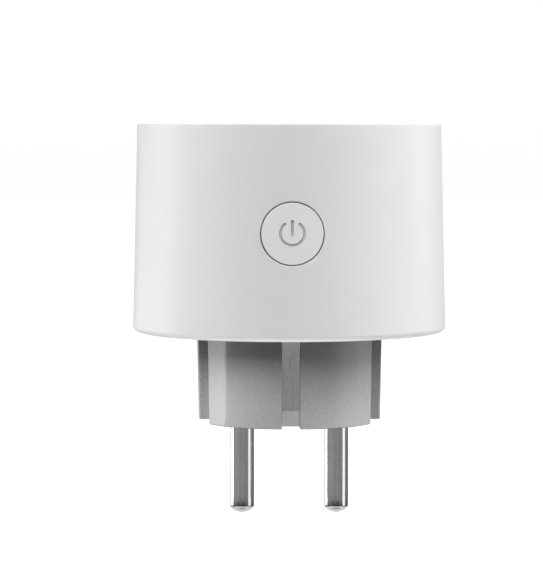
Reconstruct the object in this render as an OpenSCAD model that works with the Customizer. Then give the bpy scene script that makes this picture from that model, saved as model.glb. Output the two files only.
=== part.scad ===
// Smart plug with a side-earth plug end below, a matching socket in its top and a power button on its front.
// Millimetres. The origin is on the axis in the plane of the plug's end face, +Z points out of the socket,
// the pins point along -Z and the button faces -Y.

/* [Body] */
// Diameter of the body at its top edge
body_top_d = 60.9; // [58:0.1:64]
// Diameter of the body at its foot
body_foot_d = 62.8; // [60:0.1:66]
// Height of the body without the plug end
body_h = 41.7; // [40:0.1:46]
// How far the rounded foot edge curves in
foot_round_in = 2; // [1:0.1:2.2]
// Height of the rounded foot edge
foot_round_up = 1.2; // [0.6:0.1:2.5]
// Radius of the fine top edge
top_radius = 0.2; // [0.1:0.1:1]
// Thickness of the housing wall
wall = 2.4; // [2:0.1:2.6]

/* [Plug end] */
// Length of the plug end below the body
plug_len = 18; // [17:0.1:19]
// Diameter of the plug end at its face
plug_face_d = 36.4; // [36:0.1:36.8]
// Width of the plug end over its side flats, at the face
plug_flat_w = 32; // [31.6:0.1:32.4]
// Draft angle of the moulded plug end
draft = 1; // [0.5:0.1:1.2]
// Width of each guide groove
groove_w = 5.5; // [5:0.1:6]
// Diameter of the two mains pins
pin_d = 4.8; // [4.8:0.1:4.8]
// Free length of the pins
pin_len = 18.5; // [18.5:0.1:19.5]
// Distance between the pins
pin_pitch = 19; // [19:0.1:19]
// Width of the slots for the side earth contacts
earth_slot_w = 3.6; // [3.2:0.1:4]

/* [Socket] */
// Inner diameter of the socket recess
recess_d = 39.5; // [39.2:0.1:40]
// Depth of the socket recess
recess_depth = 17.5; // [17:0.1:18]
// Diameter of the pin holes in the socket face
pin_hole_d = 5.6; // [5.3:0.1:5.8]
// Opening travel of the safety shutter
shutter_travel = 5.8; // [5.6:0.1:6]

/* [Button] */
// Diameter of the button cap
button_d = 11.9; // [11:0.1:12.5]
// Gap around the button cap
button_gap = 0.22; // [0.15:0.01:0.3]
// Height of the button axis above the foot of the body
button_up = 20.8; // [19:0.1:23]
// Outer diameter of the power symbol's ring
icon_d = 5.15; // [4:0.05:6]
// Line width of the power symbol
icon_line = 0.58; // [0.4:0.02:0.8]

/* [Hidden] */
$fn = 96;
eps = 0.01;
clear = 0.05;

// Levels along the axis
foot_z = plug_len;
top_z = foot_z + body_h;
button_z = foot_z + button_up;
face_z = top_z - recess_depth;
face_t = 2.4;
cover_t = 2.2;
board_z = foot_z + 3;
board_t = 1.6;
board_top = board_z + board_t;

// Radii of the body
top_r = body_top_d / 2;
foot_r = body_foot_d / 2;
recess_r = recess_d / 2;
collar_r = recess_r + 1.5;
pin_r = pin_d / 2;
pin_x = pin_pitch / 2;
plug_r = plug_face_d / 2;
plug_root_r = plug_r + plug_len * tan(draft);
button_r = button_d / 2;

// Outer radius of the drafted body side at a height
function side_r(z) = foot_r + (top_r - foot_r) * (z - foot_z - foot_round_up) / (body_h - foot_round_up);
// Points of an arc, from angle a0 to a1
function arc(centre, r, a0, a1, n) =
    [for (i = [0:n]) centre + r * [cos(a0 + (a1 - a0) * i / n), sin(a0 + (a1 - a0) * i / n)]];
// Unit normal to the left of the segment from p to q
function left_of(p, q) = [p[1] - q[1], q[0] - p[0]] / norm(q - p);
// Point i of a bent strip's edge, a distance d to the left of its centre line, with mitred corners
function edge_point(path, i, d) =
    let (last = len(path) - 1)
    let (a = left_of(path[max(i - 1, 0)], path[max(i, 1)]))
    let (b = left_of(path[min(i, last - 1)], path[min(i + 1, last)]))
    path[i] + d * (a + b) / (1 + a * b);
// Outline of a strip of thickness t that follows a path
function strip_outline(path, t) = concat(
    [for (i = [0:len(path) - 1]) edge_point(path, i, t / 2)],
    [for (i = [len(path) - 1:-1:0]) edge_point(path, i, -t / 2)]);

// ---- shared shapes ----

// A box centred in X and Y that stands on a height
module block(size, at) {
    translate([at[0] - size[0] / 2, at[1] - size[1] / 2, at[2]])
        cube(size);
}

// A round bar along Z from a height
module post(r, h, at) {
    translate(at)
        cylinder(h = h, r = r);
}

// A round bar along +Y from a point
module bar_y(r, h, at) {
    translate(at)
        rotate([-90, 0, 0])
            cylinder(h = h, r = r);
}

// A sheet strip bent in the YZ plane along path, with its width along X
module bent_strip(path, t, w) {
    rotate([90, 0, 90])
        linear_extrude(height = w, center = true)
            polygon(strip_outline(path, t));
}

module mirror_y() {
    children();
    mirror([0, 1, 0])
        children();
}

module mirror_x() {
    children();
    mirror([1, 0, 0])
        children();
}

// ---- housing ----

boss_r = 2.75;
boss_hole_r = 1.05;
boss_spots = [[20.5, -14.3], [-20.5, -14.3], [0, 25]];
cover_r = foot_r - foot_round_in - 0.8;
cavity_top_r = top_r - wall;
button_seat_y = -28.2;

// Solid of revolution with the body's outer shape, shrunk by inset
module body_form(inset = 0) {
    rotate_extrude($fn = 160)
        translate([-inset, 0])
            polygon(concat(
                [[inset, foot_z]],
                [for (a = [0:7.5:90])
                    [foot_r - foot_round_in * (1 - sin(a)), foot_z + foot_round_up * (1 - cos(a))]],
                arc([top_r - top_radius, top_z - top_radius], top_radius, 0, 90, 5),
                [[inset, top_z]]));
}

module housing() {
    color("white")
        difference() {
            union() {
                difference() {
                    body_form();
                    translate([0, 0, foot_z - eps])
                        cylinder(h = body_h - wall + eps, r1 = cover_r + clear, r2 = cavity_top_r);
                    post(collar_r + clear, body_h + 1, [0, 0, foot_z]);
                    translate([0, 0, top_z - 0.25])
                        cylinder(h = 0.25 + eps, r1 = collar_r + clear, r2 = collar_r + clear + 0.25);
                }
                for (spot = boss_spots) {
                    post(boss_r, top_z - wall - board_top + eps, [spot[0], spot[1], board_top]);
                    rotate([0, 0, atan2(spot[1], spot[0])])
                        translate([norm(spot) + boss_r - 1, -1, board_top])
                            cube([28.6 - norm(spot) - boss_r + 1, 2, top_z - wall - board_top + eps]);
                }
                intersection() {
                    bar_y(8.4, 4, [0, -30, button_z]);
                    body_form(0.5);
                }
            }
            for (spot = boss_spots)
                post(boss_hole_r, 14, [spot[0], spot[1], board_top - eps]);
            bar_y(button_r + button_gap, 12, [0, -36, button_z]);
            bar_y(button_r + 1.25, 4, [0, button_seat_y, button_z]);
        }
}

// White ring that closes the housing around the plug end
module bottom_cover() {
    color("white")
        difference() {
            translate([0, 0, foot_z])
                cylinder(h = cover_t, r = cover_r - clear);
            post(plug_root_r + wing_out + 0.1, cover_t + 2, [0, 0, foot_z - 1]);
            for (spot = boss_spots) {
                post(1.4, cover_t + 2, [spot[0], spot[1], foot_z - 1]);
                post(2.5, 1.3, [spot[0], spot[1], foot_z - eps]);
            }
            translate([0, 0, foot_z - eps])
                difference() {
                    cylinder(h = 0.3, r = cover_r + 1);
                    cylinder(h = 0.3, r1 = cover_r - 0.35, r2 = cover_r - 0.05);
                }
        }
}

// Pan-head screw along +Z, its head at the bottom
module screw(at, head_r, head_h, shank_r, shank_h, drive_r) {
    translate(at)
        difference() {
            union() {
                cylinder(h = head_h, r1 = head_r - 0.25, r2 = head_r);
                cylinder(h = head_h + shank_h, r = shank_r);
            }
            for (turn = [0, 90])
                rotate([0, 0, turn])
                    translate([-drive_r, -0.28, -eps])
                        cube([2 * drive_r, 0.56, 0.7]);
        }
}

module housing_screws() {
    color("silver")
        for (spot = boss_spots)
            screw([spot[0], spot[1], foot_z + 0.1], 2.3, 1.19, 1.05, 12, 1.5);
}

// ---- plug end ----

wing_t = 1.6;
wing_gap = 0.7;
wing_out = 0.2;
facet_angle = 31;
facet_reach = 17.75;
face_edge = 0.15;
earth_t = 0.8;
earth_y = plug_r - 0.4 - earth_t / 2;
notch_y = 10.8;
notch_h = 4.4;
floor_t = 2.5;
earth_hole_y = 10;
sleeve_r = 2.44;
sleeve_outer_r = 2.95;
flange_r = 22.5;

// Everything beyond a drafted plane that faces outward at an angle, dist from the axis at the end face
module beyond(angle, dist) {
    rotate([0, 0, angle])
        translate([dist, -30, -1])
            rotate([0, draft, 0])
                cube([30, 60, 40]);
}

// Bevel along the end face's edge at an angle, where the side is dist from the axis
module face_bevel(angle, dist) {
    rotate([0, 0, angle])
        translate([dist - face_edge, -30, 0])
            rotate([0, 45, 0])
                translate([0, 0, -10])
                    cube([10, 60, 20]);
}

// Drafted cone of the plug end with a bevelled face, grown outward
module plug_cone(grow = 0) {
    cylinder(h = face_edge, r1 = plug_r + grow - face_edge, r2 = plug_r + grow);
    translate([0, 0, face_edge])
        cylinder(h = plug_len - face_edge, r1 = plug_r + grow, r2 = plug_root_r + grow);
}

// Outer form of the plug end: a cone with side flats, facets and two pairs of guide wings
module plug_form() {
    difference() {
        plug_cone();
        for (side = [0, 180]) {
            beyond(side, plug_flat_w / 2);
            beyond(side + facet_angle, facet_reach);
            beyond(side - facet_angle, facet_reach);
            face_bevel(side, plug_flat_w / 2);
            face_bevel(side + facet_angle, facet_reach);
            face_bevel(side - facet_angle, facet_reach);
        }
    }
    intersection() {
        plug_cone(wing_out);
        mirror_x()
            mirror_y()
                translate([plug_flat_w / 2 - 2, groove_w / 2, wing_gap])
                    cube([8, wing_t, plug_len - wing_gap - clear]);
    }
}

module plug_body() {
    color("lightgray")
        difference() {
            union() {
                difference() {
                    plug_form();
                    intersection() {
                        translate([0, 0, floor_t])
                            cylinder(h = plug_len, r1 = plug_r - 2.7, r2 = plug_root_r - 2.7);
                        block([2 * 13.9, 40, plug_len], [0, 0, floor_t]);
                    }
                }
                difference() {
                    union() {
                        post(plug_root_r - 0.1, cover_t + 0.4, [0, 0, foot_z - 0.4]);
                        post(flange_r, 0.8 - clear, [0, 0, foot_z + cover_t]);
                    }
                    post(plug_root_r - 2.7, 6, [0, 0, foot_z - 1]);
                }
                for (side = [-1, 1])
                    post(4.2, 9.5, [side * pin_x, 0, floor_t - eps]);
                post(4.4, 12, [0, earth_hole_y, floor_t - eps]);
            }
            for (side = [-1, 1]) {
                post(2, floor_t + 2, [side * pin_x, 0, -1]);
                post(3.4, 10, [side * pin_x, 0, floor_t]);
            }
            post(2.75, 2, [0, earth_hole_y, -1]);
            translate([0, earth_hole_y, -eps])
                cylinder(h = 0.5, r1 = 3.25, r2 = 2.75);
            post(sleeve_outer_r, 20, [0, earth_hole_y, 1]);
            mirror_y() {
                block([earth_slot_w, 4, plug_len + 10], [0, earth_y - earth_t / 2 + 2, -1]);
                block([earth_slot_w, plug_r - notch_y + 1, notch_h + 1],
                    [0, (plug_r + notch_y + 1) / 2, -1]);
                block([5.4, 4, 10], [0, earth_y - earth_t / 2 - 2 + eps, bridge_z - 4.3]);
            }
        }
}

// Solid round pin with a domed tip, an embedded neck, a collar and a solder tail
module mains_pin(x) {
    dome_r = 3;
    dome_h = dome_r - sqrt(dome_r * dome_r - pin_r * pin_r);
    half = asin(pin_r / dome_r);
    color("silver")
        translate([x, 0, 0])
            rotate_extrude()
                polygon(concat(
                    arc([0, dome_r - pin_len], dome_r, -90, half - 90, 10),
                    [[pin_r, 0], [2, 0], [2, floor_t], [3.4 - clear, floor_t], [3.4 - clear, 4.2],
                     [1.3, 4.2], [1.3, board_top - 0.1], [0, board_top - 0.1]]));
}

module line_pin() {
    mains_pin(-pin_x);
}

module neutral_pin() {
    mains_pin(pin_x);
}

// ---- earth path ----

clip_back_y = 20.55;
clip_top_z = top_z - 3.4;
clip_t = 0.7;
bridge_z = foot_z + 1.5;

// Earth clip on the +Y side: a stiff strip in the plug end and a spring arm in the socket
module earth_clip() {
    strip_y = earth_y;
    back = clip_back_y;
    lower = [[strip_y - 2.4, 0.55], [strip_y, 3.8], [strip_y, board_top + 2]];
    upper = [[strip_y, board_top + 1.5], [strip_y, board_top + 4], [back, board_top + 9],
        [back, clip_top_z - 0.9], [back - 0.35, clip_top_z - 0.25], [back - 1.1, clip_top_z],
        [back - 1.9, clip_top_z - 0.3], [back - 2.5, clip_top_z - 1.2], [back - 4.1, face_z + 6.2],
        [back - 4.1, face_z + 4.6], [back - 2.6, face_z + 1]];
    color("silver")
        difference() {
            union() {
                bent_strip(lower, earth_t, earth_slot_w - 0.1);
                bent_strip(upper, clip_t, 5);
            }
            bar_y(0.75, 3, [0, strip_y - 1.5, bridge_z - 2]);
        }
}

module rear_earth_clip() {
    earth_clip();
}

module front_earth_clip() {
    mirror([0, 1, 0])
        earth_clip();
}

// Flat bar that joins the two earth clips below the board
module earth_bridge() {
    inner = earth_y - earth_t / 2 - clear;
    color("silver")
        difference() {
            union() {
                block([5, 2 * inner, 0.8], [0, 0, bridge_z]);
                mirror_y()
                    block([5, 0.8, 4], [0, inner - 0.4, bridge_z - 4 + eps]);
                block([3, 0.6, 5], [0, earth_hole_y + sleeve_outer_r + 0.3, bridge_z - 5 + eps]);
            }
            mirror_y()
                bar_y(0.75, 3, [0, inner - 2, bridge_z - 2]);
        }
}

module earth_rivets() {
    inner = earth_y - earth_t / 2 - clear;
    color("silver")
        mirror_y() {
            bar_y(0.74, 0.8 + earth_t + clear, [0, inner - 0.8, bridge_z - 2]);
            bar_y(1.4, 0.5, [0, inner - 1.3, bridge_z - 2]);
        }
}

// Rolled contact that takes a socket's earth pin
module earth_pin_sleeve() {
    color("silver")
        difference() {
            post(sleeve_outer_r, 15, [0, earth_hole_y, 1]);
            post(sleeve_r, 20, [0, earth_hole_y, 0]);
            block([0.7, 4, 20], [0, earth_hole_y - 3, 0]);
        }
}

// ---- socket ----

rib_w = 4.9;
rib_reach = 17.2;
window_w = 6.4;

module socket_collar() {
    ledge_z = face_z - face_t + 1.2;
    color("white")
        difference() {
            union() {
                post(collar_r, recess_depth + face_t - 0.25, [0, 0, face_z - face_t]);
                translate([0, 0, top_z - 0.25 - eps])
                    cylinder(h = 0.25 + eps, r1 = collar_r, r2 = collar_r - 0.25);
                difference() {
                    post(collar_r + 1.8, 1.6, [0, 0, top_z - wall - 1.6 - clear]);
                    for (spot = boss_spots)
                        post(boss_r + 0.3, 3, [spot[0], spot[1], top_z - wall - 2.5]);
                }
            }
            difference() {
                union() {
                    post(recess_r, 40, [0, 0, face_z - face_t - 1]);
                    translate([0, 0, top_z - 0.6])
                        cylinder(h = 0.6 + eps, r1 = recess_r, r2 = recess_r + 0.6);
                }
                mirror_x()
                    difference() {
                        block([4, rib_w, recess_depth - 1.2 + clear], [rib_reach + 2, 0, face_z + clear]);
                        translate([rib_reach, 0, top_z - 1.2])
                            rotate([0, 45, 0])
                                cube([1.6, rib_w + 1, 1.6], center = true);
                    }
            }
            post(recess_r + 0.9, 1.2 + eps, [0, 0, face_z - face_t - eps]);
            mirror_y()
                block([window_w, 4, clip_top_z - ledge_z + 3], [0, recess_r + 1.2, ledge_z - 2.4]);
        }
}

// Floor of the recess, with the two pin holes and the feet of the guide ribs
module socket_face() {
    step_t = 1.2;
    color("white")
        difference() {
            union() {
                post(recess_r + 0.85, step_t, [0, 0, face_z - face_t]);
                post(recess_r - clear, face_t, [0, 0, face_z - face_t]);
                for (side = [-1, 1])
                    post(4.3, 0.4, [side * pin_x, 0, face_z - eps]);
            }
            for (side = [-1, 1]) {
                post(pin_hole_d / 2, face_t + 3, [side * pin_x, 0, face_z - face_t - 1]);
                translate([side * pin_x, 0, face_z - 0.2])
                    cylinder(h = 0.61, r1 = pin_hole_d / 2, r2 = pin_hole_d / 2 + 0.6);
                post(0.9, face_t, [side * 4.5, 10.8, face_z - face_t - 1]);
            }
            mirror_y()
                block([window_w, 8, face_t + 2], [0, recess_r + 1, face_z - face_t - 1]);
        }
}

// ---- safety shutter ----

frame_t = 1;
frame_x = 14.6;
frame_y0 = -4.4;
frame_y1 = 13.2;
frame_bottom = face_z - face_t - 5.6;
slider_z = frame_bottom + 1.25;
slider_h = 4.1;
pad_y = 2.9;

// Box under the socket face that guides the slider
module shutter_frame() {
    h = 5.6 - clear;
    color("whitesmoke")
        difference() {
            union() {
                translate([-frame_x, frame_y0, frame_bottom])
                    cube([2 * frame_x, frame_y1 - frame_y0, h]);
                mirror_x()
                    post(2, h, [4.5, 10.8, frame_bottom]);
            }
            difference() {
                translate([-frame_x + frame_t, frame_y0 + frame_t, frame_bottom + 1.2])
                    cube([2 * (frame_x - frame_t), frame_y1 - frame_y0 - 2 * frame_t, h]);
                mirror_x()
                    post(1.9, h, [4.5, 10.8, frame_bottom]);
            }
            mirror_x() {
                post(pin_hole_d / 2, 4, [pin_x, 0, frame_bottom - 1]);
                post(0.9, h + 2, [4.5, 10.8, frame_bottom - 1]);
            }
        }
}

// Two ramped pads on one bridge: both pins must press before it slides
module shutter_slider() {
    color("gainsboro")
        difference() {
            union() {
                mirror_x()
                    translate([pin_x - 3.6, -pad_y, slider_z])
                        cube([7.2, 2 * pad_y, slider_h]);
                translate([-pin_x, -pad_y, slider_z])
                    cube([pin_pitch, 2 * pad_y, 2.2]);
            }
            mirror_x()
                translate([pin_x - 4, -pad_y - 1, slider_z + 0.75])
                    rotate([30, 0, 0])
                        cube([8, 8, 6]);
            bar_y(1.2, 2, [0, pad_y - 1, slider_z + 1.1 + 0.75]);
        }
}

// Compression spring between the slider and the frame's end wall
module shutter_spring() {
    wire_r = 0.2;
    coil_r = 0.95;
    turns = 6;
    steps = 16;
    sides = 8;
    start = pad_y - 1 + wire_r + clear;
    length = frame_y1 - frame_t - clear - wire_r - start;
    centre_z = slider_z + 1.1 + 0.75;
    count = turns * steps;
    function ring(i) = [for (k = [0:sides - 1])
        let (a = 360 * i / steps, b = 360 * k / sides, r = coil_r + wire_r * cos(b))
        [r * cos(a), start + length * i / count + wire_r * sin(b), centre_z + r * sin(a)]];
    function corner(i, k) = i * sides + k % sides;
    points = [for (i = [0:count]) each ring(i)];
    walls = [for (i = [0:count - 1]) for (k = [0:sides - 1]) each [
        [corner(i, k), corner(i, k + 1), corner(i + 1, k + 1)],
        [corner(i, k), corner(i + 1, k + 1), corner(i + 1, k)]]];
    ends = [[for (k = [sides - 1:-1:0]) corner(0, k)], [for (k = [0:sides - 1]) corner(count, k)]];
    color("silver")
        polyhedron(points, concat(walls, ends));
}

// Two self-tapping screws that hold the shutter frame under the socket face
module face_screws() {
    color("silver")
        mirror_x()
            screw([4.5, 10.8, frame_bottom - 1], 1.7, 1 - eps, 0.88, 7, 1.1);
}

// ---- socket contacts ----

contact_r = 2.42;
contact_outer_r = 3;
carrier_z = board_top + 1.4;

module contact_carrier() {
    h = frame_bottom - carrier_z - clear;
    color("dimgray")
        difference() {
            union() {
                block([29, 9, h], [0, 0, carrier_z]);
                mirror_x()
                    block([1.3, 9, 1.5], [13.85, 0, board_top]);
            }
            mirror_x()
                post(contact_outer_r + 0.1, h + 2, [pin_x, 0, carrier_z - 1]);
            block([10, 12, h - 2], [0, 0, carrier_z - eps]);
        }
}

// Split spring sleeve that grips a 4.8 mm pin and stands on the board
module pin_contact(x) {
    h = frame_bottom - carrier_z - 0.6;
    color("goldenrod")
        difference() {
            post(contact_outer_r, h + 1.4, [x, 0, board_top]);
            post(contact_r, h + 3, [x, 0, board_top - 1]);
            translate([x, 0, carrier_z + h - 0.5])
                cylinder(h = 0.5 + eps, r1 = contact_r, r2 = contact_r + 0.35);
            block([0.8, 8, h], [x, 0, carrier_z + 3]);
        }
}

module line_contact() {
    pin_contact(-pin_x);
}

module neutral_contact() {
    pin_contact(pin_x);
}

// ---- boards ----

control_y = -22;
control_t = 1.2;
control_w = 26;
control_z0 = board_top + 1;
control_z1 = top_z - 4.5;

module main_board() {
    color("seagreen")
        difference() {
            post(27.4, board_t, [0, 0, board_z]);
            for (spot = boss_spots)
                post(1.3, board_t + 2, [spot[0], spot[1], board_z - 1]);
            mirror_x()
                post(1.35, board_t + 2, [pin_x, 0, board_z - 1]);
            mirror_y()
                block([5.6, 2.2, board_t + 2], [0, earth_y, board_z - 1]);
            block([3.4, 1.2, board_t + 2], [0, earth_hole_y + sleeve_outer_r + 0.3, board_z - 1]);
        }
}

module control_board() {
    color("seagreen")
        difference() {
            translate([-control_w / 2, control_y - control_t, control_z0])
                cube([control_w, control_t, control_z1 - control_z0]);
            for (side = [-1, 1])
                bar_y(1, 4, [side * 11, control_y - 2, control_z0 + 4]);
        }
}

// Right-angle header that joins the two boards
module board_header() {
    pitch = 2.54;
    count = 5;
    color("gold")
        for (i = [0:count - 1])
            translate([(i - (count - 1) / 2) * pitch, 0, 0]) {
                block([0.64, 0.64, 3.6], [0, control_y + 1.4, board_top]);
                translate([-0.32, control_y, board_top + 2.96])
                    cube([0.64, 1.2, 0.64]);
            }
    color("black")
        block([count * pitch, 2.2, 2.2], [0, control_y + 1.6, board_top]);
}

module wifi_board() {
    color("seagreen")
        translate([-8, control_y - control_t - 0.8, control_z1 - 12.5])
            cube([16, 0.8, 12]);
}

module wifi_shield() {
    can_t = 0.2;
    back_y = control_y - control_t - 0.8;
    color("silver")
        difference() {
            translate([-6.6, back_y - 1.7, control_z1 - 12])
                cube([13.2, 1.7, 8]);
            translate([-6.6 + can_t, back_y - 1.7 + can_t, control_z1 - 12 + can_t])
                cube([13.2 - 2 * can_t, 1.7, 8 - 2 * can_t]);
        }
}

module wifi_chip() {
    color("black")
        translate([-2.5, control_y - control_t - 0.8 - 0.9, control_z1 - 10.5])
            cube([5, 0.9, 5]);
}

// ---- button ----

switch_face_y = control_y - control_t;
switch_h = 3;
plunger_tip_y = switch_face_y - switch_h - 0.6;
cap_skin = 0.35;
cap_curve = 55;

module tact_switch() {
    color("dimgray")
        difference() {
            translate([-3, switch_face_y - switch_h, button_z - 3])
                cube([6, switch_h, 6]);
            bar_y(1.7, 1.6, [0, switch_face_y - switch_h - eps, button_z]);
        }
    color("silver")
        for (x = [-1, 1], z = [-1, 1])
            translate([x * 3.35 - 0.35, switch_face_y - 0.3, button_z + z * 2.2 - 0.4])
                cube([0.7, 0.3, 0.8]);
}

module tact_plunger() {
    color("black")
        bar_y(1.6, 1.4, [0, plunger_tip_y, button_z]);
}

// The power symbol: an open ring and a bar, in the XZ plane, cut along Y from a point
module power_symbol(from, depth, grow = 0) {
    ring_r = icon_d / 2 + grow;
    line = icon_line + 2 * grow;
    gap_half = 32 - grow * 12;
    reach = 5;
    translate([0, from, button_z])
        rotate([-90, 0, 0])
            mirror([0, 1, 0])
                linear_extrude(height = depth) {
                    difference() {
                        circle(r = ring_r);
                        circle(r = ring_r - line);
                        polygon([[0, 0], [reach * sin(gap_half), reach * cos(gap_half)],
                            [-reach * sin(gap_half), reach * cos(gap_half)]]);
                    }
                    translate([-line / 2, -0.55 - grow])
                        square([line, icon_d / 2 + 0.55 + 2 * grow]);
                }
}

module button_cap() {
    flange_t = 0.8;
    color("white")
        difference() {
            union() {
                intersection() {
                    bar_y(button_r, 6 + clear + eps, [0, button_seat_y - 6, button_z]);
                    post(cap_curve, body_h, [0, cap_curve - side_r(button_z), foot_z]);
                }
                bar_y(button_r + 0.9, flange_t, [0, button_seat_y + clear, button_z]);
                bar_y(1.5, plunger_tip_y - button_seat_y - 2 * clear, [0, button_seat_y + clear, button_z]);
            }
            power_symbol(-34, 34 + button_seat_y - 0.9);
            difference() {
                bar_y(4.4, 3, [0, button_seat_y - 0.9, button_z]);
                bar_y(1.5, 3, [0, button_seat_y - 1, button_z]);
            }
        }
}

// Smoky insert that fills the symbol from behind and carries light to it
module icon_light_guide() {
    skin_y = -side_r(button_z) + cap_skin;
    color("gray")
        difference() {
            union() {
                power_symbol(skin_y, button_seat_y - 0.7 - skin_y, -0.01);
                bar_y(4.3, 1.2, [0, button_seat_y - 0.9, button_z]);
            }
            bar_y(1.55, 3, [0, button_seat_y - 0.9, button_z]);
        }
}

module status_leds() {
    color("white")
        for (side = [-1, 1])
            translate([side * 5 - 0.4, switch_face_y - 0.7, button_z - 0.8])
                cube([0.8, 0.7, 1.6]);
}

// ---- power parts on the main board ----

module relay_base() {
    color("black")
        block([10.2, 20.5, 2], [relay_x, 0, board_top]);
}

relay_x = 20.7;
relay_z = board_top + 2;
coil_y = -4.9;
armature_t = 0.7;
armature_z = relay_z + 9.9;
hinge_y = 0.7;
hinge_z = armature_z + armature_t / 2;
pivot_r = 0.32;

// A round bar along +X, centred on the relay
module relay_bar_x(r, length, y, z) {
    translate([relay_x - length / 2, y, z])
        rotate([0, 90, 0])
            cylinder(h = length, r = r);
}

// Core and L-shaped iron frame around the coil, with two ears that hold the armature's pivot
module relay_yoke() {
    ear_w = 2.2;
    color("gray") {
        translate([relay_x - 3.2, -8.9, relay_z])
            cube([6.4, 9.6, 0.9]);
        translate([relay_x - 3.2, -0.2, relay_z])
            cube([6.4, 0.9, 9.5]);
        post(1.4, 9.3, [relay_x, coil_y, relay_z]);
        difference() {
            for (x = [-3.8, 3.15])
                translate([relay_x + x, -0.2, relay_z + 7.5])
                    cube([0.65, ear_w, hinge_z - relay_z - 7.5 + 1.1]);
            relay_bar_x(pivot_r + clear, 10, hinge_y, hinge_z);
        }
    }
}

module relay_coil() {
    color("peru")
        difference() {
            union() {
                post(3.3, 7.4, [relay_x, coil_y, relay_z + 0.95]);
                for (z = [0.95, 7.55])
                    block([7.6, 7.8, 0.8], [relay_x, coil_y, relay_z + z]);
            }
            post(1.45, 12, [relay_x, coil_y, relay_z - 1]);
        }
}

// Rocking iron plate on a round pivot, with the moving contact on its leg
module relay_armature() {
    color("silver") {
        translate([relay_x - 3, -8.6, armature_z])
            cube([6, 10.6, armature_t]);
        relay_bar_x(pivot_r, 7.5, hinge_y, hinge_z);
        translate([relay_x - 2, 1.5, relay_z + 2])
            cube([4, 0.5, armature_z - relay_z - 2 + eps]);
        bar_y(1, 0.9, [relay_x, 2 - eps, relay_z + 3.4]);
    }
}

module relay_contact() {
    color("peru") {
        translate([relay_x - 2, 3.9, relay_z])
            cube([4, 0.5, 5.4]);
        bar_y(1, 0.5, [relay_x, 3.4 + eps, relay_z + 3.4]);
    }
}

module relay_case() {
    color("dimgray")
        difference() {
            block([10.2, 20.5, 13.2], [relay_x, 0, relay_z]);
            block([8.8, 19.1, 12.5], [relay_x, 0, relay_z - eps]);
        }
}

module safety_capacitor() {
    color("gold")
        block([5, 13, 11], [-18.6, 0, board_top]);
}

module bulk_capacitors() {
    color("black") {
        post(4, 12, [-9, 18, board_top]);
        post(3.15, 8, [-16.8, 13, board_top]);
    }
}

module inductor_core() {
    color("dimgray")
        translate([9, 18, board_top])
            rotate_extrude()
                polygon([[0, 0], [4, 0], [4, 1.2], [2, 1.2], [2, 6.8], [4, 6.8], [4, 8], [0, 8]]);
}

module inductor_winding() {
    color("peru")
        difference() {
            post(3.6, 5.6 - 2 * clear, [9, 18, board_top + 1.2 + clear]);
            post(2, 8, [9, 18, board_top]);
        }
}

module varistor() {
    color("royalblue")
        translate([14.3, 16.3, board_top + 5.4])
            rotate([0, 90, 0])
                cylinder(h = 3.4, r = 4.4);
    color("silver")
        for (y = [-2.5, 2.5])
            post(0.35, 1.8, [15.9, 16.3 + y, board_top]);
}

module fuse_resistor() {
    color("darkseagreen")
        bar_y(1.7, 9, [-14, -17, board_top + 1.9]);
    color("silver")
        for (y = [-17.6, -7.4])
            post(0.35, 2, [-14, y, board_top]);
}

module power_chips() {
    color("black") {
        block([4.9, 3.9, 1.5], [0, -10.5, board_top]);
        block([4.9, 3.9, 1.5], [-7.5, -10.5, board_top]);
        block([4.7, 3.8, 1.4], [7.5, -10.5, board_top]);
    }
}

module current_shunt() {
    leg = [[-4, 0], [-4, 2], [4, 2], [4, 0]];
    color("peru")
        translate([11.8, -15.4, board_top])
            rotate([90, 0, 35])
                linear_extrude(height = 2)
                    polygon(strip_outline(leg, 0.6));
}

housing();
socket_collar();
socket_face();
bottom_cover();
plug_body();
line_pin();
neutral_pin();
front_earth_clip();
rear_earth_clip();
earth_bridge();
earth_rivets();
earth_pin_sleeve();
shutter_frame();
shutter_slider();
shutter_spring();
contact_carrier();
line_contact();
neutral_contact();
main_board();
control_board();
board_header();
wifi_board();
wifi_shield();
wifi_chip();
tact_switch();
tact_plunger();
button_cap();
icon_light_guide();
status_leds();
relay_base();
relay_yoke();
relay_coil();
relay_armature();
relay_contact();
relay_case();
safety_capacitor();
bulk_capacitors();
inductor_core();
inductor_winding();
varistor();
fuse_resistor();
power_chips();
current_shunt();
housing_screws();
face_screws();
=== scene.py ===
"""Looks of the smart plug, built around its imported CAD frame.

Metres in the row frame: the plug's end face is at z = 0, +Z points out of the socket and the button faces -Y.
"""
import math

import bmesh
import bpy
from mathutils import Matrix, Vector


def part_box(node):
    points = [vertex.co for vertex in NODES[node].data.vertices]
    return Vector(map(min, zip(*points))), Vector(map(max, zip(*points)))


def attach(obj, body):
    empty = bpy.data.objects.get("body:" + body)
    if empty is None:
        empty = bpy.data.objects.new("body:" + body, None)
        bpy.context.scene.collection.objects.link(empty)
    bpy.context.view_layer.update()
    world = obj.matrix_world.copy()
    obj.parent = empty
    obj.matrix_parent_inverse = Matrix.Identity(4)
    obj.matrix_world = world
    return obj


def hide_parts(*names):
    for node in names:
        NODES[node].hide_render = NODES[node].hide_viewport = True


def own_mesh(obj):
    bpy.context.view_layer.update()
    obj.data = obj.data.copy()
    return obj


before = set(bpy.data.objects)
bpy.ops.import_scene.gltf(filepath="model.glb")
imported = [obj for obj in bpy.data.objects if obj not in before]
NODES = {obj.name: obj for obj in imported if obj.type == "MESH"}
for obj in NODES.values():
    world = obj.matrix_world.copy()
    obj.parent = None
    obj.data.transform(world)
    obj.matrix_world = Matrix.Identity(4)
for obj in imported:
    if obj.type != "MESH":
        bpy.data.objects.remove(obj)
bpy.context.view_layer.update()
MM = 0.001

# ---------------------------------------------------------------- places, from the frame

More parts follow.
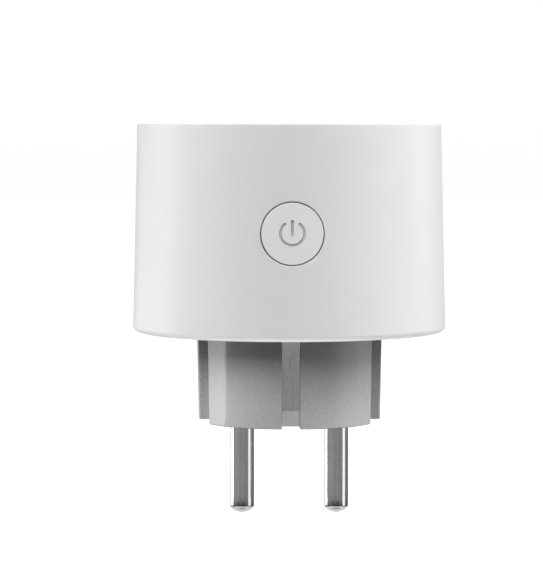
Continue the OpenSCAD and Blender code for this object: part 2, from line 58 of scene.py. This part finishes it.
body_lo, body_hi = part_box("housing")
pin_lo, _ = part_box("line_pin")
cap_lo, cap_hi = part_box("button_cap")
FOOT_Z, TOP_Z = body_lo.z, body_hi.z
FOOT_R = body_hi.x
TOP_R = FOOT_R - 0.95 * MM      # the side leans in by a little over one degree
BUTTON_Z = (cap_lo.z + cap_hi.z) / 2
PIN_TIP_Z = pin_lo.z
PIN_FACE_Z = 0.0                # the plug end's face, which the pins stand out of


# ---------------------------------------------------------------- camera

CAMERA_DISTANCE = 594.7 * MM
CAMERA_AZIMUTH = math.radians(-1.16)
CAMERA_PITCH = math.radians(3.113)
CAMERA_YAW = math.radians(0.343)
LENS, SENSOR = 186.93, 36.0


def make_camera():
    """A long lens level with the body's top edge, turned a little down and left."""
    data = bpy.data.cameras.new("camera")
    data.lens = LENS
    data.sensor_width = SENSOR
    data.clip_start = 0.01
    camera = bpy.data.objects.new("camera", data)
    bpy.context.scene.collection.objects.link(camera)
    camera.location = (
        math.sin(CAMERA_AZIMUTH) * CAMERA_DISTANCE,
        -math.cos(CAMERA_AZIMUTH) * CAMERA_DISTANCE,
        TOP_Z,
    )
    camera.rotation_euler = (math.pi / 2 - CAMERA_PITCH, 0.0, CAMERA_AZIMUTH + CAMERA_YAW)
    bpy.context.scene.camera = camera


make_camera()


# ---------------------------------------------------------------- materials


NOISE_SPAN = (0.3, 0.7)         # where nearly all of a noise's values lie


class Graph:
    """Adds and links the nodes of one material. Textures use object coordinates."""

    def __init__(self, name):
        self.material = bpy.data.materials.new(name)
        self.material.use_nodes = True
        self.nodes = self.material.node_tree.nodes
        self.shader = self.nodes["Principled BSDF"]
        self.where = self.add("ShaderNodeTexCoord").outputs["Object"]

    def add(self, kind, **values):
        node = self.nodes.new(kind)
        for key, value in values.items():
            if key in node.inputs:
                node.inputs[key].default_value = value
            else:
                setattr(node, key, value)
        return node

    def link(self, source, target):
        self.material.node_tree.links.new(source, target)

    def stretched(self, scale):
        mapping = self.add("ShaderNodeMapping")
        mapping.inputs["Scale"].default_value = scale
        self.link(self.where, mapping.inputs["Vector"])
        return mapping.outputs["Vector"]

    def noise(self, size, detail=3.0, stretch=None):
        """Noise whose features are about size metres across."""
        node = self.add("ShaderNodeTexNoise", Scale=1.0 / size, Detail=detail)
        self.link(self.stretched(stretch) if stretch else self.where, node.inputs["Vector"])
        return node.outputs["Fac"]

    def ranged(self, source, low, high):
        """Maps the middle of a noise's range onto low to high."""
        node = self.add("ShaderNodeMapRange")
        node.inputs["From Min"].default_value, node.inputs["From Max"].default_value = NOISE_SPAN
        node.inputs["To Min"].default_value, node.inputs["To Max"].default_value = low, high
        self.link(source, node.inputs["Value"])
        return node.outputs["Result"]

    def scaled(self, colour, factor):
        """The colour times a factor that varies over the surface."""
        node = self.add("ShaderNodeVectorMath", operation="SCALE")
        self.link(colour, node.inputs[0])
        self.link(factor, node.inputs["Scale"])
        return node.outputs["Vector"]

    def bump(self, source, depth, strength=1.0):
        node = self.add("ShaderNodeBump", Strength=strength, Distance=depth)
        self.link(source, node.inputs["Height"])
        return node.outputs["Normal"]

    def between(self, source, first, second, span=(0.35, 0.65)):
        """Fades from the first colour to the second as source crosses span."""
        ramp = self.add("ShaderNodeValToRGB")
        ramp.color_ramp.elements[0].position, ramp.color_ramp.elements[1].position = span
        ramp.color_ramp.elements[0].color = (*first, 1.0)
        ramp.color_ramp.elements[1].color = (*second, 1.0)
        self.link(source, ramp.inputs["Fac"])
        return ramp.outputs["Color"]

    def shade(self, colour, roughness=None, normal=None, **uniform):
        """Links what varies, sets what doesn't on the shader, and gives the material."""
        for key, value in uniform.items():
            self.shader.inputs[key.replace("_", " ")].default_value = value
        for source, socket in ((colour, "Base Color"), (roughness, "Roughness"), (normal, "Normal")):
            if source is not None:
                self.link(source, self.shader.inputs[socket])
        return self.material


def grey(value, warm=0.0):
    """A grey, or a slightly warm one."""
    return (value, value * (1 - warm * 0.5), value * (1 - warm))


def plastic(name, colour, roughness=0.4, grain=0.25, depth=0.004, mottle=0.02, speckle=0.0, **uniform):
    """Moulded plastic: a texture of grain mm, depth mm deep, with a faint change of tone and gloss."""
    g = Graph(name)
    fine = g.noise(grain * MM, detail=2.0)
    darker = tuple(c * (1 - mottle) for c in colour)
    lighter = tuple(min(1.0, c * (1 + mottle)) for c in colour)
    tone = g.between(g.noise(6 * MM), darker, lighter)
    if speckle:
        tone = g.scaled(tone, g.ranged(fine, 1 - speckle, 1 + speckle))
    return g.shade(
        colour=tone,
        roughness=g.ranged(fine, roughness - 0.04, roughness + 0.04),
        normal=g.bump(fine, depth * MM),
        **uniform,
    )


def metal(name, colour, roughness, stretch=(1, 1, 0.05), depth=0.0015):
    """Drawn or rolled metal with fine lines along the stretched axis and faint stains."""
    g = Graph(name)
    lines = g.noise(0.12 * MM, stretch=stretch)
    stains = g.noise(3 * MM)
    darker = tuple(c * 0.93 for c in colour)
    return g.shade(
        colour=g.between(stains, darker, colour),
        roughness=g.ranged(lines, roughness - 0.05, roughness + 0.07),
        normal=g.bump(lines, depth * MM),
        Metallic=1.0,
    )


WHITE = plastic(
    "white_satin_plastic", grey(0.86), roughness=0.42, grain=0.5, depth=0.0006, mottle=0.004,
    Subsurface_Weight=0.3, Subsurface_Scale=0.0008, Subsurface_Radius=(1.0, 1.0, 1.0),
)
WHITE_INNER = plastic(
    "white_recess_plastic", grey(0.84), roughness=0.45, grain=0.35, depth=0.0015, mottle=0.006,
)
BUTTON_WHITE = plastic(
    "white_button_plastic", grey(0.90), roughness=0.36, grain=0.5, depth=0.0004, mottle=0.003,
)
GREY = plastic(
    "grey_textured_plastic", grey(0.60), roughness=0.30, grain=0.28, depth=0.010, mottle=0.01, speckle=0.09,
)
IVORY = plastic("ivory_plastic", grey(0.74, 0.03), roughness=0.45)
SHUTTER = plastic("shutter_plastic", grey(0.66, 0.01), roughness=0.35, grain=0.4, depth=0.002)
DARK = plastic("dark_plastic", grey(0.035), roughness=0.5, mottle=0.15)
BLACK = plastic("black_epoxy", grey(0.018), roughness=0.45, mottle=0.15)
GUIDE = plastic(
    "smoky_light_guide", grey(0.68), roughness=0.3, grain=0.3, depth=0.002,
    Transmission_Weight=0.15, IOR=1.49,
)
NICKEL = metal("nickel_plate", (0.60, 0.595, 0.585), roughness=0.13, stretch=(1, 1, 0.02), depth=0.0002)
TIN = metal("tinned_bronze", (0.82, 0.815, 0.80), roughness=0.23, depth=0.0006)
STEEL = metal("zinc_plated_steel", (0.66, 0.67, 0.69), roughness=0.3, stretch=(1, 1, 1), depth=0.002)
SPRING = metal("spring_wire", (0.55, 0.55, 0.57), roughness=0.28)
IRON = metal("relay_iron", (0.45, 0.45, 0.46), roughness=0.4)
BRASS = metal("contact_brass", (0.78, 0.58, 0.28), roughness=0.3)
GOLD = metal("gold_flash", (0.86, 0.66, 0.30), roughness=0.25)
CAN = metal("tinned_can", (0.70, 0.70, 0.69), roughness=0.35, stretch=(0.05, 1, 1))


def copper_winding():
    """Enamelled copper wire wound in level turns."""
    g = Graph("copper_winding")
    turns = g.add("ShaderNodeTexWave", bands_direction="Z", Scale=450.0, Distortion=0.4)
    g.link(g.where, turns.inputs["Vector"])
    groove = turns.outputs["Fac"]
    return g.shade(
        colour=g.between(groove, (0.30, 0.11, 0.04), (0.72, 0.33, 0.14)),
        roughness=g.ranged(groove, 0.4, 0.25),
        normal=g.bump(groove, 0.1 * MM, strength=0.6),
        Metallic=0.8,
    )


def circuit_board():
    """Green solder mask over faint copper tracks."""
    g = Graph("green_circuit_board")
    cells = g.add("ShaderNodeTexVoronoi", feature="DISTANCE_TO_EDGE", Scale=260.0)
    g.link(g.where, cells.inputs["Vector"])
    tracks = cells.outputs["Distance"]
    return g.shade(
        colour=g.between(tracks, (0.02, 0.17, 0.07), (0.01, 0.10, 0.045), span=(0.08, 0.12)),
        roughness=g.ranged(g.noise(1 * MM), 0.25, 0.38),
        normal=g.bump(tracks, 0.02 * MM, strength=0.4),
    )


COPPER = copper_winding()
BOARD = circuit_board()
YELLOW = plastic("yellow_box_plastic", (0.62, 0.40, 0.03), roughness=0.35)
BLUE = plastic("blue_dipped_epoxy", (0.02, 0.07, 0.30), roughness=0.25, grain=0.8, depth=0.01)
RESISTOR = plastic("green_lacquer", (0.10, 0.22, 0.16), roughness=0.4)
FERRITE = plastic("ferrite", grey(0.03), roughness=0.6, grain=0.15, depth=0.01, mottle=0.2)
LED = plastic("led_lens", (0.82, 0.82, 0.76), roughness=0.2)


# ---------------------------------------------------------------- mesh helpers

WELD = 0.002 * MM                       # CAD vertices this close are one
SLIVER = 0.0005 * MM                    # edges shorter than this go after a bevel
FLAT_ANGLE = math.radians(0.6)          # faces nearer to level than this become one
SHARP_ANGLE = math.radians(25.0)        # edges sharper than this are rounded


def add_piece(name, bm, material, body, replaced, sharp):
    """Turns bm into a piece that takes the replaced nodes' place, smooth except at edges over sharp degrees."""
    bmesh.ops.recalc_face_normals(bm, faces=bm.faces)
    limit = math.radians(sharp)
    for face in bm.faces:
        face.smooth = True
    for edge in bm.edges:
        edge.smooth = edge.is_manifold and edge.calc_face_angle(math.pi) < limit
    mesh = bpy.data.meshes.new(name)
    bm.to_mesh(mesh)
    bm.free()
    mesh.materials.append(material)
    piece = bpy.data.objects.new(name, mesh)
    bpy.context.scene.collection.objects.link(piece)
    weighted = piece.modifiers.new("even_shading", "WEIGHTED_NORMAL")
    weighted.keep_sharp = True
    weighted.weight = 80
    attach(piece, body)
    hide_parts(*replaced)
    return piece


def ring_of(bm, radius, z, segments, centre):
    """A level ring of vertices."""
    step = 2 * math.pi / segments
    return [
        bm.verts.new((centre[0] + radius * math.cos(k * step), centre[1] + radius * math.sin(k * step), z))
        for k in range(segments)
    ]


def lathe(profile, segments=128, centre=(0.0, 0.0)):
    """A closed form turned about a vertical axis. Its profile starts and ends on the axis."""
    bm = bmesh.new()
    rings = []
    for radius, z in profile:
        if radius < 1e-7:
            rings.append([bm.verts.new((centre[0], centre[1], z))])
        else:
            rings.append(ring_of(bm, radius, z, segments, centre))
    for low, high in zip(rings, rings[1:]):
        for k in range(segments):
            corners = [
                low[k % len(low)], low[(k + 1) % len(low)], high[(k + 1) % len(high)], high[k % len(high)],
            ]
            corners = list(dict.fromkeys(corners))      # a ring on the axis is one vertex
            if len(corners) > 2:
                bm.faces.new(corners)
    return bm


def softened(node, width):
    """A copy of a CAD node's mesh with its sharp edges rounded to width."""
    bm = bmesh.new()
    bm.from_mesh(NODES[node].data)
    bmesh.ops.remove_doubles(bm, verts=bm.verts, dist=WELD)
    bmesh.ops.dissolve_limit(
        bm, angle_limit=FLAT_ANGLE, verts=bm.verts, edges=bm.edges, use_dissolve_boundaries=False
    )
    edges = [e for e in bm.edges if e.is_manifold and e.calc_face_angle(0.0) > SHARP_ANGLE]
    bmesh.ops.bevel(
        bm, geom=edges, offset=width, offset_type="OFFSET", segments=2, profile=0.5,
        affect="EDGES", clamp_overlap=True, loop_slide=True,
    )
    bmesh.ops.dissolve_degenerate(bm, dist=SLIVER, edges=bm.edges)
    return bm


# ---------------------------------------------------------------- housing

WALL = 2.4 * MM
FOOT_IN, FOOT_UP = 2.0 * MM, 1.2 * MM   # the rounded foot edge curves in and up by this much
TOP_ROUND = 0.15 * MM
SEAM = 0.05 * MM                        # gap between the shell and the collar or the foot cover
COLLAR_FLANGE = 1.8 * MM                # how far the collar reaches under the shell's top
COVER_DEPTH = 4 * MM                    # how far the shell goes up inside, above the foot cover's edge
HOLE_R = 6.17 * MM                      # the button's hole: half the cap's width and the gap
HOLE_ROUND = 0.14 * MM
COLUMNS = 240                           # faces round the body
PATCH = 11                              # half the columns and rows of the patch with the hole
ROW = 0.8 * MM                          # height of a row of the patch


def side_radius(z, inset=0.0):
    """The leaning side's radius at a height, or that of a surface inset from it."""
    t = (z - FOOT_Z - FOOT_UP) / (TOP_Z - FOOT_Z - FOOT_UP)
    return FOOT_R + (TOP_R - FOOT_R) * t - inset


def housing_piece():
    """The housing shell, turned, with a square patch at the front that closes in on the button's hole."""
    bm = bmesh.new()
    rim_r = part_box("socket_collar")[1].x - COLLAR_FLANGE + SEAM
    cover_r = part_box("bottom_cover")[1].x + SEAM
    band = [BUTTON_Z + (k - PATCH) * ROW for k in range(2 * PATCH + 1)]
    low_side, high_side = FOOT_Z + FOOT_UP + 0.6 * MM, TOP_Z - TOP_ROUND - 0.4 * MM
    foot_arc = [
        (FOOT_R - FOOT_IN * (1 - math.sin(a)), FOOT_Z + FOOT_UP * (1 - math.cos(a)))
        for a in (math.radians(90 * k / 16) for k in range(17))
    ]
    top_arc = [
        (TOP_R - TOP_ROUND + TOP_ROUND * math.cos(a), TOP_Z - TOP_ROUND + TOP_ROUND * math.sin(a))
        for a in (math.radians(1.2 + 88.8 * k / 6) for k in range(7))
    ]
    side_rows = (low_side, (low_side + band[0]) / 2, *band, high_side)
    outer = foot_arc + [(side_radius(z), z) for z in side_rows] + top_arc
    inner_top = TOP_Z - WALL
    top = [
        (rim_r + 0.35 * MM, TOP_Z), (rim_r + 0.1 * MM, TOP_Z - 0.07 * MM),
        (rim_r, TOP_Z - 0.3 * MM), (rim_r, inner_top),
    ]
    inside = [(side_radius(z, WALL), z) for z in (inner_top, *reversed(band))]
    foot = [
        (cover_r, FOOT_Z + COVER_DEPTH), (cover_r, FOOT_Z + 0.12 * MM), (cover_r + 0.12 * MM, FOOT_Z),
    ]
    profile = outer + top + inside + foot
    columns = [-math.pi / 2 + 2 * math.pi * (k - PATCH) / COLUMNS for k in range(COLUMNS)]
    rows = [[bm.verts.new((r * math.cos(a), r * math.sin(a), z)) for a in columns] for r, z in profile]
    first_out = len(foot_arc) + 2           # the patch's first row, outside and inside
    first_in = len(outer) + len(top) + 1
    for i in range(len(rows)):
        low, high = rows[i], rows[(i + 1) % len(rows)]
        patched = first_out <= i < first_out + 2 * PATCH or first_in <= i < first_in + 2 * PATCH
        for k in range(2 * PATCH if patched else 0, COLUMNS):
            bm.faces.new((low[k], low[(k + 1) % COLUMNS], high[(k + 1) % COLUMNS], high[k]))

    def border(first, step):
        """The patch's border, anticlockwise from the front, from its lower left corner."""
        band_rows = [rows[first + k] for k in range(2 * PATCH + 1)][::step]
        size = 2 * PATCH
        loop = [band_rows[0][k] for k in range(size)]
        loop += [band_rows[k][size] for k in range(size)]
        loop += [band_rows[size][size - k] for k in range(size)]
        loop += [band_rows[size - k][0] for k in range(size)]
        return loop

    def rings(loop, inset, round_edge):
        """Rings of vertices from the patch's border in to the hole's edge, on a side inset that much."""
        count = len(loop)
        angles = [math.radians(-135) + 2 * math.pi * k / count for k in range(count)]
        made = [loop]
        start_r = HOLE_R + round_edge
        steps = 7
        for n in range(1, steps + 1):
            t = (n / steps) ** 0.8
            ring = []
            for vert, a in zip(loop, angles):
                x = vert.co.x * (1 - t) + start_r * math.cos(a) * t
                z = vert.co.z * (1 - t) + (BUTTON_Z + start_r * math.sin(a)) * t
                ring.append(bm.verts.new((x, -math.sqrt(side_radius(z, inset) ** 2 - x * x), z)))
            made.append(ring)
        for n in range(1, 5 if round_edge else 0):
            turn = math.radians(22.5 * n)
            radius = HOLE_R + round_edge * (1 - math.sin(turn))
            depth = round_edge * (1 - math.cos(turn))
            ring = []
            for a in angles:
                x, z = radius * math.cos(a), BUTTON_Z + radius * math.sin(a)
                ring.append(bm.verts.new((x, depth - math.sqrt(side_radius(z, inset) ** 2 - x * x), z)))
            made.append(ring)
        return made

    outside = rings(border(first_out, 1), 0.0, HOLE_ROUND)
    within = rings(border(first_in, -1), WALL, 0.0)
    for chain in (outside, within, [outside[-1], within[-1]]):
        for a, b in zip(chain, chain[1:]):
            for k in range(len(a)):
                n = (k + 1) % len(a)
                bm.faces.new((a[k], a[n], b[n], b[k]))
    add_piece("housing_shell", bm, WHITE, "plug_unit", ["housing"], sharp=40)


housing_piece()


# ---------------------------------------------------------------- pins


PIN_R = 2.4 * MM
PIN_DOME_R = 3.0 * MM
PIN_EDGE = 0.12 * MM
PIN_NECK_R = 2.0 * MM         # inside the plug end, below the collar
PIN_COLLAR_R, PIN_COLLAR_LOW, PIN_COLLAR_HIGH = 3.35 * MM, 2.5 * MM, 4.2 * MM
PIN_STUB_R = 1.3 * MM         # soldered to the main board


def pin_piece(node, name):
    """A plated pin with a domed tip and a fine edge where the dome meets the shank."""
    lo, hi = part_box(node)
    centre = ((lo.x + hi.x) / 2, (lo.y + hi.y) / 2)
    dome_angle = math.asin(PIN_R / PIN_DOME_R)
    dome = [
        (PIN_DOME_R * math.sin(a), lo.z + PIN_DOME_R - PIN_DOME_R * math.cos(a))
        for a in (dome_angle * k / 12 * 0.96 for k in range(13))
    ]
    base_z = lo.z + PIN_DOME_R - PIN_DOME_R * math.cos(dome_angle)
    shank = [(PIN_R - PIN_EDGE * 0.15, base_z + PIN_EDGE * 0.5), (PIN_R, base_z + PIN_EDGE * 2)]
    shank += [(PIN_R, base_z + (PIN_FACE_Z - base_z) * k / 6) for k in range(1, 6)]
    inside = [
        (PIN_R, PIN_FACE_Z), (PIN_NECK_R, PIN_FACE_Z),
        (PIN_NECK_R, PIN_COLLAR_LOW), (PIN_COLLAR_R, PIN_COLLAR_LOW),
        (PIN_COLLAR_R, PIN_COLLAR_HIGH), (PIN_STUB_R, PIN_COLLAR_HIGH),
        (PIN_STUB_R, hi.z), (0.0, hi.z),
    ]
    bm = lathe(dome + shank + inside, centre=centre)
    add_piece(name, bm, NICKEL, "plug_unit", [node], sharp=50)


pin_piece("line_pin", "line_pin_shank")
pin_piece("neutral_pin", "neutral_pin_shank")


# ---------------------------------------------------------------- pieces softened from the CAD

SOFTENED = (
    # node, piece name, rounding in mm, material, body, slot
    ("plug_body", "plug_end_moulding", 0.12, GREY, "plug_unit", "grey_plastic"),
    ("socket_collar", "socket_collar_moulding", 0.14, WHITE_INNER, "plug_unit", "white_plastic"),
    ("socket_face", "socket_face_moulding", 0.12, WHITE_INNER, "plug_unit", "white_plastic"),
    ("bottom_cover", "foot_cover_moulding", 0.08, WHITE, "plug_unit", "white_plastic"),
    ("front_earth_clip", "front_earth_strip", 0.10, TIN, "plug_unit", "earth_metal"),
    ("rear_earth_clip", "rear_earth_strip", 0.10, TIN, "plug_unit", "earth_metal"),
    ("earth_pin_sleeve", "earth_pin_tube", 0.06, TIN, "plug_unit", "earth_metal"),
    ("housing_screws", "housing_screw_set", 0.06, STEEL, "plug_unit", "screw_steel"),
    ("button_cap", "button_cap_moulding", 0.05, BUTTON_WHITE, "button", "button_white"),
    ("shutter_slider", "shutter_slider_moulding", 0.10, SHUTTER, "shutter", "shutter_plastic"),
)

for node, name, width, material, body, slot in SOFTENED:
    add_piece(name, softened(node, width * MM), material, body, [node], sharp=32)


# ---------------------------------------------------------------- shutter spring


SPRING_WIRE_R = 0.2 * MM


def spring_piece(turns=7, steps=24, sides=10):
    """The shutter's return spring, with closed end turns."""
    lo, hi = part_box("shutter_spring")
    wire = SPRING_WIRE_R
    coil = (hi.x - lo.x) / 2 - wire
    mid_x, mid_z = (lo.x + hi.x) / 2, (lo.z + hi.z) / 2
    first, last = lo.y + wire, hi.y - wire
    close = 1.05 * 2 * wire             # from one closed turn to the next
    bm = bmesh.new()
    rings = []
    for i in range(turns * steps + 1):
        turn = i / steps
        open_share = min(max(turn - 1, 0.0), turns - 2) / (turns - 2)
        closed_turns = min(turn, 1.0) + max(turn - turns + 1, 0.0)
        y = first + close * closed_turns + (last - first - 2 * close) * open_share
        a = 2 * math.pi * turn
        ring = []
        for k in range(sides):
            b = 2 * math.pi * k / sides
            r = coil + wire * math.cos(b)
            at = (mid_x + r * math.cos(a), y + wire * math.sin(b), mid_z + r * math.sin(a))
            ring.append(bm.verts.new(at))
        rings.append(ring)
    for low, high in zip(rings, rings[1:]):
        for k in range(sides):
            bm.faces.new((low[k], low[(k + 1) % sides], high[(k + 1) % sides], high[k]))
    bm.faces.new(rings[0])
    bm.faces.new(rings[-1])
    piece = add_piece(
        "shutter_return_spring", bm, SPRING, "plug_unit", ["shutter_spring"], sharp=50
    )
    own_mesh(piece)


spring_piece()


# ---------------------------------------------------------------- CAD nodes that stay

KEPT = {
    "icon_light_guide": GUIDE,
    "earth_bridge": TIN,
    "earth_rivets": TIN,
    "shutter_frame": IVORY,
    "contact_carrier": DARK,
    "line_contact": BRASS,
    "neutral_contact": BRASS,
    "main_board": BOARD,
    "control_board": BOARD,
    "board_header": GOLD,
    "wifi_board": BOARD,
    "wifi_shield": CAN,
    "wifi_chip": BLACK,
    "tact_switch": STEEL,
    "tact_plunger": BLACK,
    "status_leds": LED,
    "relay_base": DARK,
    "relay_yoke": IRON,
    "relay_coil": COPPER,
    "relay_armature": IRON,
    "relay_contact": BRASS,
    "relay_case": DARK,
    "safety_capacitor": YELLOW,
    "bulk_capacitors": BLACK,
    "inductor_core": FERRITE,
    "inductor_winding": COPPER,
    "varistor": BLUE,
    "fuse_resistor": RESISTOR,
    "power_chips": BLACK,
    "current_shunt": COPPER,
    "face_screws": STEEL,
}

for node, material in KEPT.items():
    for entry in NODES[node].material_slots:
        entry.material = material


# ---------------------------------------------------------------- stage and light

FLOOR_Z = PIN_TIP_Z - 0.2 * MM
FLOOR_TONE, FLOOR_GLOW = 0.25, 0.93     # the floor's own grey and the even light it gives off
STAGE_R, STAGE_BEND = 4.0, 1.2          # in metres: the backdrop's radius and the curve at its foot
ROOM_LEVEL = 0.01
PANEL_DISTANCE = 2.4                    # metres from the object

SOFTBOXES = (
    # name, azimuth and elevation in degrees, width and height in metres, radiance
    ("high_right_front", 40, 56, 1.2, 1.2, 3.4),
    ("right_side", 88, 35, 1.2, 1.2, 7.5),
    ("right_front", 35, 28, 1.2, 1.2, 1.5),
    ("left_side", -92, 30, 1.2, 1.2, 5.5),
    ("left_front", -32, 30, 1.2, 1.2, 5.5),
    ("right_back", 150, 20, 1.2, 1.2, 2),
    ("right_rim", 113, 10, 0.9, 1.2, 3),
    ("left_rim", -105, 4, 0.7, 1.2, 3.2),
    ("left_strip", -122, -7, 2.7, 0.5, 2),
    ("right_strip", 79, -5, 1.3, 0.8, 1.6),
    ("low_left", -64, -7, 2.35, 0.5, 0.42),
    ("low_front", -13, -7, 2.35, 0.5, 0.36),
    ("low_right", 38, -7, 2.35, 0.5, 0.34),
    ("low_right_back", 120, -7, 2.0, 0.5, 0.22),
    ("floor_bounce", 0, -89.9, 1.6, 1.6, 0.5),
)
GLOWS = (
    # softboxes that light only the named pieces
    (
        ("foot_glow", 0, -89.9, 2.4, 2.4, 3.5),
        ("housing_shell", "foot_cover_moulding", "housing_screw_set"),
    ),
    (("face_glow", 0, -89.9, 0.8, 0.8, 8.0), ("plug_end_moulding",)),
    (("pin_glow", 0, -89.9, 10.0, 10.0, 1.0), ("line_pin_shank", "neutral_pin_shank")),
    (("button_glow", 0, 52, 0.8, 0.8, 6.0), ("button_cap_moulding", "icon_light_guide")),
)


def stage_material():
    """Pale and evenly lit, and clear from behind so that a view from below sees the object."""
    g = Graph("pale_floor")
    tone = g.between(g.noise(0.2), grey(FLOOR_TONE * 0.98), grey(FLOOR_TONE))
    material = g.shade(colour=tone, Roughness=0.8)
    g.shader.inputs["Emission Color"].default_value = (1, 1, 1, 1)
    g.shader.inputs["Emission Strength"].default_value = FLOOR_GLOW
    mix = g.add("ShaderNodeMixShader")
    g.link(g.add("ShaderNodeNewGeometry").outputs["Backfacing"], mix.inputs["Fac"])
    g.link(g.shader.outputs["BSDF"], mix.inputs[1])
    g.link(g.add("ShaderNodeBsdfTransparent").outputs["BSDF"], mix.inputs[2])
    g.link(mix.outputs["Shader"], g.nodes["Material Output"].inputs["Surface"])
    return material


def make_stage():
    """A plain pale floor that curves up into a domed backdrop. It sends no light back onto the object."""
    steps = 16
    quarter = [math.pi / 2 * k / steps for k in range(1, steps + 1)]
    bend_z = FLOOR_Z + STAGE_BEND
    profile = [(0.0, FLOOR_Z), (STAGE_R - STAGE_BEND, FLOOR_Z)]
    for turn in quarter:
        profile.append((
            STAGE_R - STAGE_BEND + STAGE_BEND * math.sin(turn), FLOOR_Z + STAGE_BEND * (1 - math.cos(turn))
        ))
    profile += [(STAGE_R * math.cos(turn), bend_z + STAGE_R * math.sin(turn)) for turn in quarter[:-1]]
    profile.append((0.0, bend_z + STAGE_R))
    bm = lathe(profile, segments=64)
    bmesh.ops.reverse_faces(bm, faces=bm.faces)         # so that they face inwards
    for face in bm.faces:
        face.smooth = True
    mesh = bpy.data.meshes.new("floor")
    bm.to_mesh(mesh)
    bm.free()
    mesh.materials.append(stage_material())
    floor = bpy.data.objects.new("floor", mesh)
    bpy.context.scene.collection.objects.link(floor)
    floor.visible_diffuse = floor.visible_glossy = floor.visible_transmission = floor.visible_shadow = False


def softbox(name, azimuth, elevation, width, height, radiance):
    """A soft panel aimed at the body's middle. Azimuth 0 is the camera's side and 90 the +X side."""
    data = bpy.data.lights.new(name, "AREA")
    data.shape = "RECTANGLE"
    data.size, data.size_y = width, height
    data.energy = radiance * math.pi * width * height
    light = bpy.data.objects.new(name, data)
    bpy.context.scene.collection.objects.link(light)
    a, e = math.radians(azimuth), math.radians(elevation)
    target = Vector((0, 0, (FOOT_Z + TOP_Z) / 2))
    offset = Vector((math.sin(a) * math.cos(e), -math.cos(a) * math.cos(e), math.sin(e))) * PANEL_DISTANCE
    light.location = target + offset
    light.rotation_euler = (-offset).to_track_quat("-Z", "Y").to_euler()
    light.visible_camera = False
    return light


def make_room():
    """A dark room behind the softboxes."""
    world = bpy.data.worlds.new("studio")
    bpy.context.scene.world = world
    world.use_nodes = True
    background = world.node_tree.nodes["Background"]
    background.inputs["Color"].default_value = (1, 1, 1, 1)
    background.inputs["Strength"].default_value = ROOM_LEVEL


make_stage()
make_room()
for panel in SOFTBOXES:
    softbox(*panel)
for panel, pieces in GLOWS:
    receivers = bpy.data.collections.new(panel[0] + "_receivers")
    for name in pieces:
        receivers.objects.link(NODES.get(name) or bpy.data.objects[name])
    softbox(*panel).light_linking.receiver_collection = receivers
# keeps the foot cover's own glow off the plug end, which stays in the foot's shade
bpy.data.objects["foot_cover_moulding"].visible_diffuse = False
bpy.context.scene.view_settings.view_transform = "Standard"
